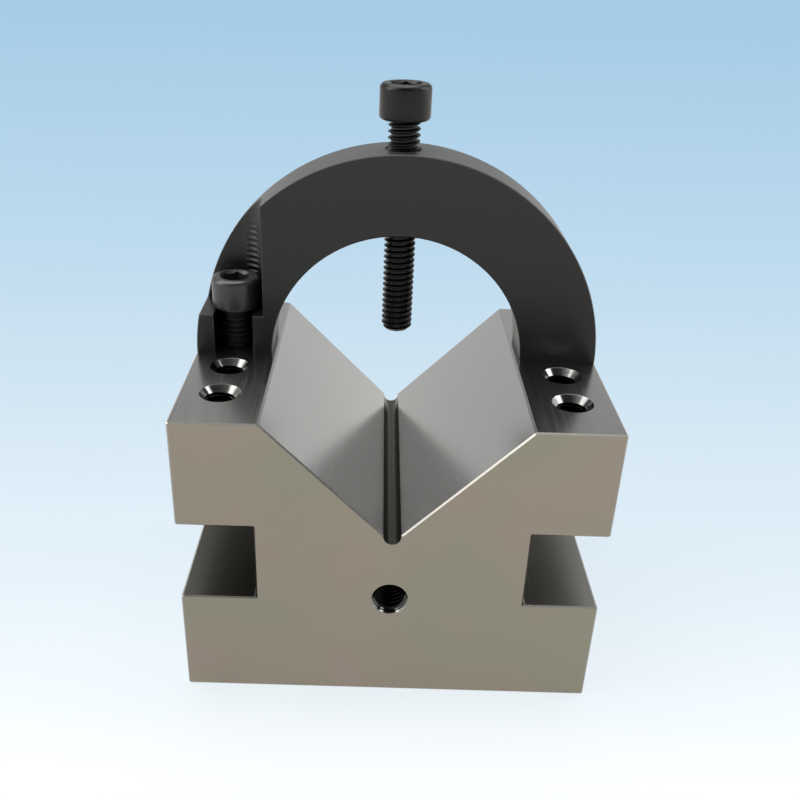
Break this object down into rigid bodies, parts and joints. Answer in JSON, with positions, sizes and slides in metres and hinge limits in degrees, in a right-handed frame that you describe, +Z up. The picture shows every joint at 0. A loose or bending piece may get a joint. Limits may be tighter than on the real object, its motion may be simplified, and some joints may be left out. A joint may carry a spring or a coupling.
{
  "type": "v block with arch clamp",
  "caption": "Ground steel V block with side clamping slots and tapped top lands, and a black twist-off arch clamp held by cap screws with a clamping screw through its crown.",
  "frame": {"origin": "centre of the base face", "axes": "+Z up from the base through the clamp screw's side of the V, the V runs along Y, -Y is the front end face, +X is to the right seen from the front"},
  "size_m": [0.1, 0.075, 0.1391],
  "materials": {
    "ground_steel": "hardened steel, surface ground",
    "black_oxide_arch": "black oxide over milled steel, oiled",
    "black_oxide_screw": "black oxide over cold-headed alloy steel, satin"
  },
  "bodies": {
    "v_block": {"v_block": "ground_steel"},
    "clamp_arch": {"clamp_arch": "black_oxide_arch"},
    "clamp_screw": {"clamp_screw": "black_oxide_screw"},
    "arch_screw_left": {"arch_screw_left": "black_oxide_screw"},
    "arch_screw_right": {"arch_screw_right": "black_oxide_screw"}
  },
  "joints": [
    {"name": "arch_turn", "type": "hinge", "parent": "v_block", "child": "clamp_arch", "pos_m": [0, 0.0075, 0.075], "axis": [0, 0, 1], "range_deg": [-25, 0]},
    {"name": "clamp_screw_travel", "type": "slide", "parent": "clamp_arch", "child": "clamp_screw", "axis": [0, 0, 1], "range_m": [-0.0062, 0.025]},
    {"name": "left_screw_travel", "type": "slide", "parent": "v_block", "child": "arch_screw_left", "axis": [0, 0, 1], "range_m": [0, 0.015]},
    {"name": "right_screw_travel", "type": "slide", "parent": "v_block", "child": "arch_screw_right", "axis": [0, 0, 1], "range_m": [0, 0.008]}
  ]
}
